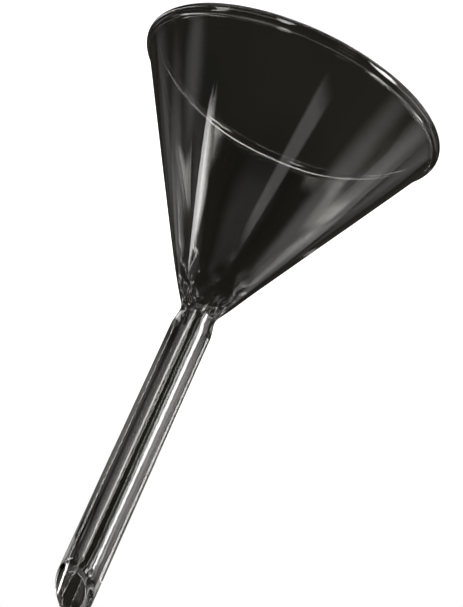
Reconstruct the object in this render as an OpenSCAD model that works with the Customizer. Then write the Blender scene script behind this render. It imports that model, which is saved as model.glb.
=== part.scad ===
// Conical glass funnel, modelled standing on its mouth.
// The rim rests on z = 0, the stem points up +Z, and the long side of the
// slanted tip is towards +Y. Millimetres.

/* [Mouth] */
// Outside diameter over the rim bead
mouth_d = 75; // [60:1:100]
// Radius of the rounded bead around the rim
bead_r = 1.45; // [1.3:0.05:1.8]
// Radius of the small creases that blend the bead into the wall
crease_r = 0.9; // [0.5:0.1:1.5]
// Width of the narrow flat that the rim stands on
rim_flat = 0.8; // [0.4:0.1:1.2]

/* [Cone] */
// Included angle of the cone, in degrees
cone_angle = 61; // [55:1:65]
// Thickness of the cone wall
wall_t = 2; // [1.4:0.1:2.2]

/* [Neck] */
// Outside diameter at the waist of the neck
neck_d = 8.9; // [8.5:0.1:9.3]
// Radius of the hollow curve between cone and neck
neck_r = 3; // [2:0.5:5]
// Length over which the waist swells to the stem
swell_l = 3.8; // [2:0.1:8]
// Radius of the shoulder inside, where the cone runs into the bore
shoulder_r = 8; // [4:0.5:10]

/* [Stem] */
// Outside diameter of the stem
stem_d = 9.7; // [9.5:0.1:11]
// Diameter of the bore through the stem
bore_d = 5.4; // [4:0.1:6]
// Length from the waist of the neck to the long side of the tip
stem_len = 71.3; // [60:0.1:150]
// Angle between the slanted cut and the axis of the stem, in degrees
tip_angle = 37; // [30:1:60]

/* [Hidden] */
$fn = 96;

half = cone_angle / 2;
along = [-sin(half), cos(half)];            // up the wall, from rim to neck
across = [cos(half), sin(half)];            // out of the wall
stem_r = stem_d / 2;
bore_r = bore_d / 2;
waist_r = neck_d / 2;

// Centre of the bead, in the middle of the wall
bead_c = [mouth_d / 2 - bead_r, sqrt(bead_r * bead_r - rim_flat * rim_flat / 4)];
out_p = bead_c + across * wall_t / 2;       // a point on the outer face of the cone
in_p = bead_c - across * wall_t / 2;        // a point on the inner face of the cone

// Height of a circle's centre at radius r that stands f off the line through p
function tangent_z(p, r, f) = p[1] + (f - (r - p[0]) * across[0]) / across[1];

// Hollow curve outside the neck
neck_c = [waist_r + neck_r, tangent_z(out_p, waist_r + neck_r, neck_r)];
neck_t = neck_c - across * neck_r;
waist_z = neck_c[1];

// Swell from the waist to the stem
swell_z = waist_z + swell_l;

// Shoulder inside the neck
shoulder_c = [bore_r + shoulder_r, tangent_z(in_p, bore_r + shoulder_r, shoulder_r)];
shoulder_t = shoulder_c - across * shoulder_r;

// Slanted tip
tip_z = waist_z + stem_len;
cut_rise = stem_r / tan(tip_angle);
cut_z = tip_z - cut_rise;

// Crease between the bead and one face of the wall
crease_s = sqrt(pow(bead_r + crease_r, 2) - pow(wall_t / 2 + crease_r, 2));
function on_wall(s, n) = bead_c + along * s + across * n;

module arc_disc(c, r) { translate(c) circle(r); }

module crease(side) {
    c = on_wall(crease_s, side * (wall_t / 2 + crease_r - 0.01));
    b = bead_c + (c - bead_c) * bead_r / (bead_r + crease_r);
    p = [bead_c, on_wall(crease_s, 0), on_wall(crease_s, side * wall_t / 2), c, b];
    difference() {
        polygon(side < 0 ? p : [for (k = [4:-1:0]) p[k]]);
        arc_disc(c, crease_r);
    }
}

module bead() {
    difference() {
        arc_disc(bead_c, bead_r);
        translate([0, -5]) square([mouth_d, 5]);
    }
}

// Everything inside the outer faces of the cone, neck and stem
module outside() {
    difference() {
        polygon([[0, bead_c[1]], bead_c, out_p, neck_t, neck_c, [waist_r, waist_z],
                 [stem_r, swell_z], [stem_r, tip_z + 1], [0, tip_z + 1]]);
        arc_disc(neck_c, neck_r);
    }
}

// The hollow: cone, rounded shoulder and bore
module hollow() {
    low = in_p - along * 3;
    difference() {
        polygon([[0, low[1]], low, shoulder_t, shoulder_c, [bore_r, shoulder_c[1]],
                 [bore_r, tip_z + 2], [0, tip_z + 2]]);
        arc_disc(shoulder_c, shoulder_r);
    }
}

module section() {
    difference() {
        outside();
        hollow();
    }
    bead();
    crease(1);
    crease(-1);
}

module funnel() {
    color([0.16, 0.16, 0.15], 0.6)
    difference() {
        rotate_extrude() section();
        translate([0, 0, cut_z]) rotate([90 - tip_angle, 0, 0])
            translate([-10, -14, 0]) cube([20, 40, 20]);
    }
}

funnel();
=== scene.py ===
import math
import bpy
from mathutils import Matrix, Vector


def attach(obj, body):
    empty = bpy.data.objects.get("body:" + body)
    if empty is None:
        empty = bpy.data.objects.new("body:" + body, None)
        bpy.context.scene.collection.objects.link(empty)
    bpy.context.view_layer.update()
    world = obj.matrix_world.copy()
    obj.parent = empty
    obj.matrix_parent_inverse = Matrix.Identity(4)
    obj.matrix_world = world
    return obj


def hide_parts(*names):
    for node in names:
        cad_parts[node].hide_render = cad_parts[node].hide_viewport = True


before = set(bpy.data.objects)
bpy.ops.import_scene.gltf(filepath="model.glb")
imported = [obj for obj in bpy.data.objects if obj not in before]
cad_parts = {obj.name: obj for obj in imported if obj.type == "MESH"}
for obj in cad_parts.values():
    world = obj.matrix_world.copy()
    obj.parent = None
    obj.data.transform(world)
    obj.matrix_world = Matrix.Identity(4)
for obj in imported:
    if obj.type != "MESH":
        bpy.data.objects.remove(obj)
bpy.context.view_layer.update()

MM = 0.001

# ------------------------------------------------------------------ shape
# Meridian of the funnel in millimetres (radius, height), standing on its rim.
HALF = math.radians(30.5)
ALONG = (-math.sin(HALF), math.cos(HALF))
ACROSS = (math.cos(HALF), math.sin(HALF))
BEAD_R, FLAT = 1.45, 0.8
BEAD = (37.5 - BEAD_R, math.sqrt(BEAD_R ** 2 - FLAT ** 2 / 4))
WALL, CREASE = 2.0, 0.9
WAIST, NECK, SWELL = 4.45, 3.0, 3.8
STEM, BORE, SHOULDER = 4.85, 2.7, 8.0
TIP_ANGLE = math.radians(37)
TURNS = 256
LONG_SIDE = math.radians(98)                  # bearing of the long side of the slanted tip
LIP = BORE + 0.2                              # the bore opens out a little at the cut


def on_wall(s, n):
    return (BEAD[0] + ALONG[0] * s + ACROSS[0] * n, BEAD[1] + ALONG[1] * s + ACROSS[1] * n)


OUT_P, IN_P = on_wall(0, WALL / 2), on_wall(0, -WALL / 2)


def tangent_z(p, r, f):
    return p[1] + (f - (r - p[0]) * ACROSS[0]) / ACROSS[1]


NECK_C = (WAIST + NECK, tangent_z(OUT_P, WAIST + NECK, NECK))
SHOULDER_C = (BORE + SHOULDER, tangent_z(IN_P, BORE + SHOULDER, SHOULDER))
WAIST_Z = NECK_C[1]
TIP_Z = WAIST_Z + 71.6
CUT_Z = TIP_Z - STEM / math.tan(TIP_ANGLE)
SLOPE = 1 / math.tan(TIP_ANGLE)


def arc(c, r, a0, a1, n):
    return [(c[0] + r * math.cos(a0 + (a1 - a0) * k / n), c[1] + r * math.sin(a0 + (a1 - a0) * k / n)) for k in range(n + 1)]


def line(p, q, n):
    return [(p[0] + (q[0] - p[0]) * k / n, p[1] + (q[1] - p[1]) * k / n) for k in range(1, n)]


def outer_path():
    s = math.sqrt((BEAD_R + CREASE) ** 2 - (WALL / 2 + CREASE) ** 2)
    c = on_wall(s, WALL / 2 + CREASE)
    d = math.atan2(c[1] - BEAD[1], c[0] - BEAD[0])
    foot = math.asin(-BEAD[1] / BEAD_R)
    path = [(BEAD[0], 0.0)] + arc(BEAD, BEAD_R, foot, d, 26)
    path += arc(c, CREASE, d + math.pi, HALF + math.pi, 8)[1:]
    a = path[-1]
    n = arc(NECK_C, NECK, HALF + math.pi, math.pi, 12)
    path += line(a, n[0], 70) + n
    for k in range(1, 13):
        t = k / 12
        path.append((WAIST + (STEM - WAIST) * t * t * (3 - 2 * t), WAIST_Z + SWELL * t))
    return path


def inner_path():
    s = math.sqrt((BEAD_R + CREASE) ** 2 - (WALL / 2 + CREASE) ** 2)
    c = on_wall(s, -(WALL / 2 + CREASE))
    d = math.atan2(c[1] - BEAD[1], c[0] - BEAD[0])
    foot = math.pi - math.asin(-BEAD[1] / BEAD_R)
    path = arc(BEAD, BEAD_R, foot, d, 18)
    path += arc(c, CREASE, d - math.pi, HALF, 8)[1:]
    a = path[-1]
    n = arc(SHOULDER_C, SHOULDER, HALF + math.pi, math.pi, 14)
    path += line(a, n[0], 60) + n
    return path


def build_glass():
    outer, inner = outer_path(), inner_path()
    z_stem, z_bore = outer[-1][1], inner[-1][1]
    verts, faces = [], []
    rows = []
    long_side = LONG_SIDE

    def wobble_out(r, z, a):
        cone = 0.05 * math.sin(2 * a + 0.7 + 0.05 * z) + 0.03 * math.sin(3 * a - 1.1 + 0.09 * z)
        cone *= min(1.0, max(0.0, (z - 3.0) / 8.0)) * min(1.0, max(0.0, (58.0 - z) / 6.0))
        drawn = (0.018 * math.sin(5 * a + 0.03 * z) + 0.012 * math.sin(9 * a + 1.3)) * min(1.0, max(0.0, (z - 60.0) / 6.0))
        return cone + drawn

    def wobble_in(r, z, a):
        near = 1.3 * math.exp(-((z - 51.5) / 4.6) ** 2)
        swirl = 0.10 * math.sin(4 * a + 0.5 * z) + 0.11 * math.sin(7 * a + 0.9 * z + 0.4) + 0.08 * math.sin(11 * a - 1.3 * z)
        cone = 0.06 * math.sin(2 * a - 0.4 + 0.04 * z) + 0.04 * math.sin(4 * a + 0.8 - 0.06 * z)
        cone *= min(1.0, max(0.0, (z - 3.0) / 8.0))
        return near * swirl + cone * min(1.0, max(0.0, (60.0 - z) / 6.0)) + 0.03 * math.sin(4 * a + 0.05 * z) * min(1.0, max(0.0, (z - 60.0) / 6.0))

    for r, z in outer:
        r -= 0.22 * math.exp(-((z - 56.8) / 2.4) ** 2)
        rows.append([(r + wobble_out(r, z, 2 * math.pi * j / TURNS), z) for j in range(TURNS)])
    ro, ri = 0.95, 0.35
    n_stem = 46

    def cut(r, a):
        return CUT_Z + r * SLOPE * math.cos(a - long_side)

    # stem outside, up to just under the slanted edge
    for k in range(1, n_stem + 1):
        t = k / n_stem
        row = []
        for j in range(TURNS):
            a = 2 * math.pi * j / TURNS
            top = cut(STEM, a) - ro * (1.0 + SLOPE * max(0.0, math.cos(a - long_side)))
            z = z_stem + (top - z_stem) * t
            row.append((STEM + wobble_out(STEM, z, a), z))
        rows.append(row)
    # rounded outer edge, the slanted face, rounded inner edge
    def bezier(p, q, s, t):
        u = 1 - t
        return (u * u * p[0] + 2 * u * t * q[0] + t * t * s[0], u * u * p[1] + 2 * u * t * q[1] + t * t * s[1])

    for k in range(1, 13):
        row = []
        for j in range(TURNS):
            a = 2 * math.pi * j / TURNS
            p = (STEM, cut(STEM, a) - ro * (1.0 + SLOPE * max(0.0, math.cos(a - long_side))))
            q = (STEM, cut(STEM, a))
            s = (STEM - ro, cut(STEM - ro, a))
            b = bezier(p, q, s, k / 12)
            row.append((b[0] + wobble_out(STEM, b[1], a), b[1]))
        rows.append(row)
    for k in range(1, 5):
        row = []
        for j in range(TURNS):
            a = 2 * math.pi * j / TURNS
            r = (STEM - ro) + (LIP + ri - STEM + ro) * k / 4
            row.append((r, cut(r, a)))
        rows.append(row)
    for k in range(1, 13):
        row = []
        for j in range(TURNS):
            a = 2 * math.pi * j / TURNS
            p = (LIP + ri, cut(LIP + ri, a))
            q = (LIP, cut(LIP, a))
            s = (LIP, cut(LIP, a) - ri * (1.0 + SLOPE * max(0.0, -math.cos(a - long_side))))
            row.append(bezier(p, q, s, k / 12))
        rows.append(row)
    for k in range(1, n_stem + 1):
        t = (k / n_stem) ** 1.6
        row = []
        for j in range(TURNS):
            a = 2 * math.pi * j / TURNS
            top = cut(LIP, a) - ri * (1.0 + SLOPE * max(0.0, -math.cos(a - long_side)))
            z = top + (z_bore - top) * t
            flare = max(0.0, 1.0 - (top - z) / 7.0)
            row.append((BORE + (LIP - BORE) * flare ** 2 * (3 - 2 * flare) + wobble_in(BORE, z, a) * (1 - flare), z))
        rows.append(row)
    for r, z in reversed(inner[:-1]):
        rows.append([(r + wobble_in(r, z, 2 * math.pi * j / TURNS), z) for j in range(TURNS)])

    # hand-drawn stem: it leaves the cone a hair off centre
    for row in rows:
        for j, (r, z) in enumerate(row):
            a = 2 * math.pi * j / TURNS
            t = min(1.0, max(0.0, (z - 46.0) / 14.0))
            off = 0.36 * t * t * (3 - 2 * t) * (1 - 0.7 * max(0.0, z - 60.0) / 69.0)
            verts.append(((r * math.cos(a) - 0.985 * off) * MM, (r * math.sin(a) + 0.174 * off) * MM, z * MM))
    n = len(rows)
    for i in range(n):
        i2 = (i + 1) % n
        for j in range(TURNS):
            j2 = (j + 1) % TURNS
            faces.append((i * TURNS + j, i * TURNS + j2, i2 * TURNS + j2, i2 * TURNS + j))
    mesh = bpy.data.meshes.new("glass_funnel")
    mesh.from_pydata(verts, [], faces)
    mesh.update()
    for p in mesh.polygons:
        p.use_smooth = True
    obj = bpy.data.objects.new("glass_funnel", mesh)
    bpy.context.scene.collection.objects.link(obj)
    return obj


# ------------------------------------------------------------------ material
def glass_material():
    m = bpy.data.materials.new("smoky_glass")
    m.use_nodes = True
    nt = m.node_tree
    b = nt.nodes["Principled BSDF"]
    b.inputs["IOR"].default_value = 1.47
    b.inputs["Transmission Weight"].default_value = 1.0
    b.inputs["Specular IOR Level"].default_value = 0.5
    tc = nt.nodes.new("ShaderNodeTexCoord")
    # faint drifts of tone in the melt
    cords = nt.nodes.new("ShaderNodeTexNoise")
    cords.inputs["Scale"].default_value = 38.0
    cords.inputs["Detail"].default_value = 3.0
    ramp = nt.nodes.new("ShaderNodeValToRGB")
    ramp.color_ramp.elements[0].position = 0.3
    ramp.color_ramp.elements[0].color = (0.62, 0.62, 0.605, 1)
    ramp.color_ramp.elements[1].position = 0.72
    ramp.color_ramp.elements[1].color = (0.70, 0.70, 0.685, 1)
    nt.links.new(tc.outputs["Object"], cords.inputs["Vector"])
    nt.links.new(cords.outputs["Fac"], ramp.inputs["Fac"])
    # handling marks: patches that are a little less sharp
    smear = nt.nodes.new("ShaderNodeTexNoise")
    smear.inputs["Scale"].default_value = 120.0
    smear.inputs["Detail"].default_value = 5.0
    rr = nt.nodes.new("ShaderNodeMapRange")
    rr.inputs["From Min"].default_value = 0.45
    rr.inputs["From Max"].default_value = 0.8
    rr.inputs["To Min"].default_value = 0.012
    rr.inputs["To Max"].default_value = 0.07
    nt.links.new(tc.outputs["Object"], smear.inputs["Vector"])
    nt.links.new(smear.outputs["Fac"], rr.inputs["Value"])
    # the slanted cut is lightly ground, and the bore behind it is dulled a little
    xyz = nt.nodes.new("ShaderNodeSeparateXYZ")
    nt.links.new(tc.outputs["Object"], xyz.inputs[0])

    def calc(op, p, q, r=None):
        n = nt.nodes.new("ShaderNodeMath")
        n.operation = op
        for i, v in enumerate((p, q, r)):
            if v is None:
                continue
            if isinstance(v, (int, float)):
                n.inputs[i].default_value = v
            else:
                nt.links.new(v, n.inputs[i])
        return n.outputs[0]

    def fade(v, one, zero):
        n = nt.nodes.new("ShaderNodeMapRange")
        n.interpolation_type = "SMOOTHSTEP"
        n.inputs["From Min"].default_value = one
        n.inputs["From Max"].default_value = zero
        n.inputs["To Min"].default_value = 1.0
        n.inputs["To Max"].default_value = 0.0
        nt.links.new(v, n.inputs["Value"])
        return n.outputs[0]

    lean = calc("MULTIPLY_ADD", xyz.outputs["X"], -SLOPE * math.cos(LONG_SIDE), xyz.outputs["Z"])
    lean = calc("MULTIPLY_ADD", xyz.outputs["Y"], -SLOPE * math.sin(LONG_SIDE), lean)
    depth = calc("SUBTRACT", lean, CUT_Z * MM)
    radius = calc("SQRT", calc("ADD", calc("MULTIPLY", xyz.outputs["X"], xyz.outputs["X"]), calc("MULTIPLY", xyz.outputs["Y"], xyz.outputs["Y"])), None)
    ground = calc("MULTIPLY", fade(calc("ABSOLUTE", depth, None), 0.0002, 0.0006), fade(radius, 0.0040, 0.0044))
    dulled = calc("MULTIPLY", fade(radius, 0.0029, 0.0031), fade(depth, -0.008, -0.013))
    rough = calc("MAXIMUM", calc("MULTIPLY", ground, 0.09), calc("MULTIPLY", dulled, 0.06))
    nt.links.new(calc("MAXIMUM", rr.outputs["Result"], rough), b.inputs["Roughness"])
    tint = nt.nodes.new("ShaderNodeMix")
    tint.data_type = "RGBA"
    tint.inputs["B"].default_value = (0.86, 0.86, 0.85, 1)
    nt.links.new(ground, tint.inputs["Factor"])
    nt.links.new(ramp.outputs["Color"], tint.inputs["A"])
    nt.links.new(tint.outputs["Result"], b.inputs["Base Color"])
    return m


# ------------------------------------------------------------------ camera
def add_camera():
    roll, tilt = math.radians(23.434), math.radians(12.615)
    phi = math.radians(-80.0)
    f_px, dist, px, py = 969.284, 233.085, 292.652, 100.238
    cx, cy = 262.0, 303.5
    up = Vector((-math.sin(roll) * math.cos(tilt), math.cos(roll) * math.cos(tilt), -math.sin(tilt)))
    e1 = Vector((math.cos(roll), math.sin(roll), 0.0))
    e2 = up.cross(e1)
    y_w = e1 * math.cos(phi) + e2 * math.sin(phi)
    x_w = y_w.cross(up)
    mouth = Vector(((px - cx) / f_px * dist, (py - cy) / f_px * dist, dist))
    right = Vector((x_w.x, y_w.x, up.x))
    above = -Vector((x_w.y, y_w.y, up.y))
    back = -Vector((x_w.z, y_w.z, up.z))
    c = Vector((-mouth.dot(x_w), -mouth.dot(y_w), -mouth.dot(up))) * MM
    cam = bpy.data.cameras.new("camera")
    cam.sensor_fit = "AUTO"
    cam.sensor_width = 36.0
    cam.lens = f_px / 607.0 * 36.0
    cam.shift_x = -(cx - 231.5) / 607.0
    cam.clip_start = 0.005
    cam.clip_end = 50.0
    obj = bpy.data.objects.new("camera", cam)
    bpy.context.scene.collection.objects.link(obj)
    obj.matrix_world = Matrix((
        (right.x, above.x, back.x, c.x),
        (right.y, above.y, back.y, c.y),
        (right.z, above.z, back.z, c.z),
        (0, 0, 0, 1)))
    bpy.context.scene.camera = obj
    return obj, e1, e2


bpy.context.scene.view_settings.view_transform = "Standard"
bpy.context.scene.cycles.max_bounces = 28
bpy.context.scene.cycles.transmission_bounces = 28
bpy.context.scene.cycles.glossy_bounces = 16
cam, _e1, _e2 = add_camera()
glass = build_glass()
glass.data.materials.append(glass_material())
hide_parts("funnel")
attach(glass, "root")

# ------------------------------------------------------------------ floor and light
TO_CAM = Vector((-0.1736, -0.9848, 0.0))      # level direction from the axis to the camera
RIGHT = Vector((-0.9848, 0.1736, 0.0))        # level direction of the picture's right-hand side


def place(az, el, d):
    a, e = math.radians(az), math.radians(el)
    return (TO_CAM * math.cos(a) + RIGHT * math.sin(a)) * (math.cos(e) * d) + Vector((0, 0, math.sin(e) * d))


def card(name, az, el, wide, tall, radiance, soft=0.3, lean=0.0, foot=1.0, tone=(1.0, 0.99, 0.97), d=1.6, base=0.06, mirrored=False):
    """Softbox seen from the funnel at a bearing: its size is given in degrees and its edges fade.
    A mirrored one shows in reflections only, so the glass stays readable from the other sides."""
    p = place(az, el, d) + Vector((0, 0, base))
    z = place(az, el, 1.0).normalized()
    x = Vector((0, 0, 1)).cross(z).normalized()
    y = z.cross(x)
    w, h = d * math.tan(math.radians(wide / 2)), d * math.tan(math.radians(tall / 2))
    mesh = bpy.data.meshes.new(name)
    k = d * math.tan(math.radians(lean))
    corners = []
    for i, j in ((-1, -1), (1, -1), (1, 1), (-1, 1)):
        corners.append(tuple(p + x * (w * i * (foot if j < 0 else 1.0) + k * j) + y * (h * j)))
    mesh.from_pydata(corners, [], [(0, 1, 2, 3)])
    obj = lit(name, mesh, [((0, 0), (1, 0), (1, 1), (0, 1))], radiance, soft, tone)
    obj.visible_transmission = not mirrored
    return obj


def band(name, points, half, radiance, soft=0.3, tone=(1.0, 0.99, 0.97), d=2.4):
    """Bent softbox under the stand: a strip along points (right, towards the camera) seen at unit depth."""
    flat = Vector((0, 0, -d))
    n = len(points) - 1
    verts = []
    for k, (u, v) in enumerate(points):
        a, b = points[max(0, k - 1)], points[min(n, k + 1)]
        t = Vector((b[0] - a[0], b[1] - a[1])).normalized()
        for side in (-1, 1):
            verts.append(tuple(flat + RIGHT * ((u - t.y * half * side) * d) + TO_CAM * ((v + t.x * half * side) * d)))
    mesh = bpy.data.meshes.new(name)
    mesh.from_pydata(verts, [], [(2 * k, 2 * k + 2, 2 * k + 3, 2 * k + 1) for k in range(n)])
    corners = [((k / n, 0), ((k + 1) / n, 0), ((k + 1) / n, 1), (k / n, 1)) for k in range(n)]
    return lit(name, mesh, corners, radiance, soft, tone)


def lit(name, mesh, corners, radiance, soft, tone):
    uv = mesh.uv_layers.new(name="card")
    for k, face in enumerate(corners):
        for i, q in enumerate(face):
            uv.data[4 * k + i].uv = q
    m = bpy.data.materials.new(name)
    m.use_nodes = True
    nt = m.node_tree
    nt.nodes.clear()
    out = nt.nodes.new("ShaderNodeOutputMaterial")
    em = nt.nodes.new("ShaderNodeEmission")
    em.inputs["Color"].default_value = (*tone, 1)
    tc = nt.nodes.new("ShaderNodeTexCoord")
    sep = nt.nodes.new("ShaderNodeSeparateXYZ")
    nt.links.new(tc.outputs["UV"], sep.inputs[0])
    last = None
    for axis in (0, 1):
        edge = soft[axis] if isinstance(soft, tuple) else soft
        for lo, hi in ((0.0, edge), (1.0, 1.0 - edge)):
            r = nt.nodes.new("ShaderNodeMapRange")
            r.interpolation_type = "SMOOTHSTEP"
            r.inputs["From Min"].default_value = lo
            r.inputs["From Max"].default_value = hi
            r.inputs["To Max"].default_value = radiance if last is None else 1.0
            nt.links.new(sep.outputs[axis], r.inputs["Value"])
            if last is None:
                last = r.outputs[0]
            else:
                mul = nt.nodes.new("ShaderNodeMath")
                mul.operation = "MULTIPLY"
                nt.links.new(last, mul.inputs[0])
                nt.links.new(r.outputs[0], mul.inputs[1])
                last = mul.outputs[0]
    nt.links.new(last, em.inputs["Strength"])
    nt.links.new(em.outputs[0], out.inputs["Surface"])
    mesh.materials.append(m)
    obj = bpy.data.objects.new(name, mesh)
    bpy.context.scene.collection.objects.link(obj)
    obj.visible_camera = False
    obj.visible_shadow = False
    return obj


def add_floor():
    n = 96
    verts = [(0, 0, -0.0002)] + [(3.0 * math.cos(2 * math.pi * k / n), 3.0 * math.sin(2 * math.pi * k / n), -0.0002) for k in range(n)]
    faces = [(0, 1 + k, 1 + (k + 1) % n) for k in range(n)]
    mesh = bpy.data.meshes.new("floor")
    mesh.from_pydata(verts, [], faces)
    obj = bpy.data.objects.new("floor", mesh)
    bpy.context.scene.collection.objects.link(obj)
    m = bpy.data.materials.new("pale_floor")
    m.use_nodes = True
    b = m.node_tree.nodes["Principled BSDF"]
    b.inputs["Base Color"].default_value = (0.86, 0.86, 0.86, 1)
    b.inputs["Roughness"].default_value = 0.9
    b.inputs["Emission Color"].default_value = (1, 1, 1, 1)
    b.inputs["Emission Strength"].default_value = 1.0
    mesh.materials.append(m)
    obj.visible_transmission = False
    obj.visible_glossy = False
    obj.visible_shadow = False
    return obj


add_floor()

world = bpy.data.worlds.new("studio")
bpy.context.scene.world = world
world.use_nodes = True
wn = world.node_tree
bg = wn.nodes["Background"]
room = wn.nodes.new("ShaderNodeTexNoise")
room.inputs["Scale"].default_value = 4.0
room.inputs["Detail"].default_value = 2.0
tones = wn.nodes.new("ShaderNodeValToRGB")
tones.color_ramp.elements[0].position = 0.32
tones.color_ramp.elements[0].color = (0.015, 0.0152, 0.0132, 1)
tones.color_ramp.elements[1].position = 0.7
tones.color_ramp.elements[1].color = (0.0325, 0.0282, 0.0225, 1)
where = wn.nodes.new("ShaderNodeTexCoord")
wn.links.new(where.outputs["Generated"], room.inputs["Vector"])
wn.links.new(room.outputs["Fac"], tones.inputs["Fac"])
wn.links.new(tones.outputs["Color"], bg.inputs["Color"])
white = wn.nodes.new("ShaderNodeBackground")
white.inputs["Color"].default_value = (1, 1, 1, 1)
mix = wn.nodes.new("ShaderNodeMixShader")
path = wn.nodes.new("ShaderNodeLightPath")
wn.links.new(path.outputs["Is Camera Ray"], mix.inputs["Fac"])
wn.links.new(bg.outputs[0], mix.inputs[1])
wn.links.new(white.outputs[0], mix.inputs[2])
wn.links.new(mix.outputs[0], wn.nodes["World Output"].inputs["Surface"])

card("front_left_low", -42, -3.4, 48, 23.4, 1.1, (0.3, 0.04))
card("stem_right_band", 84, -1, 60, 24, 3.0)
card("right_low", 76, -26, 64, 34, 0.8)
card("right_mid", 90, 24, 46, 20, 0.8, 0.4)
card("right_far", 118, 13, 50, 26, 0.95, 0.4)
card("left_window", -76, 28.5, 22, 10, 11.0, (0.22, 0.2), 3.2, 0.2)
card("front_band", 26, 38.0, 15, 13, 0.9, 0.2)
card("top_mid", 180, 82, 70, 9, 1.3, 0.25)
card("top_right", 127, 48, 9, 52, 1.3, 0.2)
card("top_left", -124, 48, 9, 52, 1.3, 0.2)
band("under", ((0.5, -0.26), (0.4, -0.155), (0.27, -0.075), (0.157, -0.03), (0.06, -0.015), (-0.06, -0.015), (-0.174, -0.025), (-0.3, -0.07), (-0.42, -0.16)), 0.08, 4.6, (0.12, 0.3))
band("under_right", ((0.46, -1.45), (0.56, -1.1), (0.645, -0.8), (0.63, -0.58), (0.57, -0.4), (0.5, -0.26), (0.42, -0.17)), 0.06, 2.4, (0.15, 0.35))
band("under_left", ((-0.3, -0.085), (-0.4, -0.16), (-0.51, -0.28), (-0.6, -0.38), (-0.655, -0.5), (-0.67, -0.7), (-0.64, -1.0), (-0.66, -1.35), (-0.6, -1.75)), 0.055, 1.3, (0.12, 0.4))
band("under_front", ((-0.34, 0.2), (0.0, 0.22), (0.34, 0.2)), 0.12, 0.3, (0.35, 0.4))
card("back_high", 180, 62, 70, 18, 3.0)
card("tip_glint", -86, 67, 12, 12, 0.7)
card("tip_arch", -150, 47, 78, 26, 13.0, 0.25, d=0.034, base=0.121)
card("left_mid", -94, 15, 24, 11, 0.5, 0.35)
card("left_low", -110, -21, 64, 9, 4.5, (0.3, 0.3), mirrored=True)
card("left_edge", -124, 11, 36, 16, 0.5, 0.35)
card("back_left_low", -140, -2, 44, 16, 0.09)
card("back_right_low", 130, -2, 40, 16, 0.2)
card("low_right_back", 108, -45, 30, 44, 0.6)
card("stem_line_right", 53, -3.0, 15, 22.6, 26.0, (0.25, 0.03), 0.0, 1.8)
card("neck_right", 53, -24.0, 24, 19, 24.0, (0.25, 0.03), mirrored=True)
card("stem_line_left", -22, -3.0, 8, 22.6, 10.0, (0.25, 0.03), 0.0, 1.8)
card("neck_left", -22, -24.0, 14, 19, 10.0, (0.25, 0.03), mirrored=True)

lamp = bpy.data.lights.new("ceiling", "AREA")
lamp.size = 1.2
lamp.energy = 8.0
lamp_o = bpy.data.objects.new("ceiling", lamp)
bpy.context.scene.collection.objects.link(lamp_o)
lamp_o.location = (0, 0, 1.6)
lamp_o.visible_camera = lamp_o.visible_glossy = lamp_o.visible_transmission = False
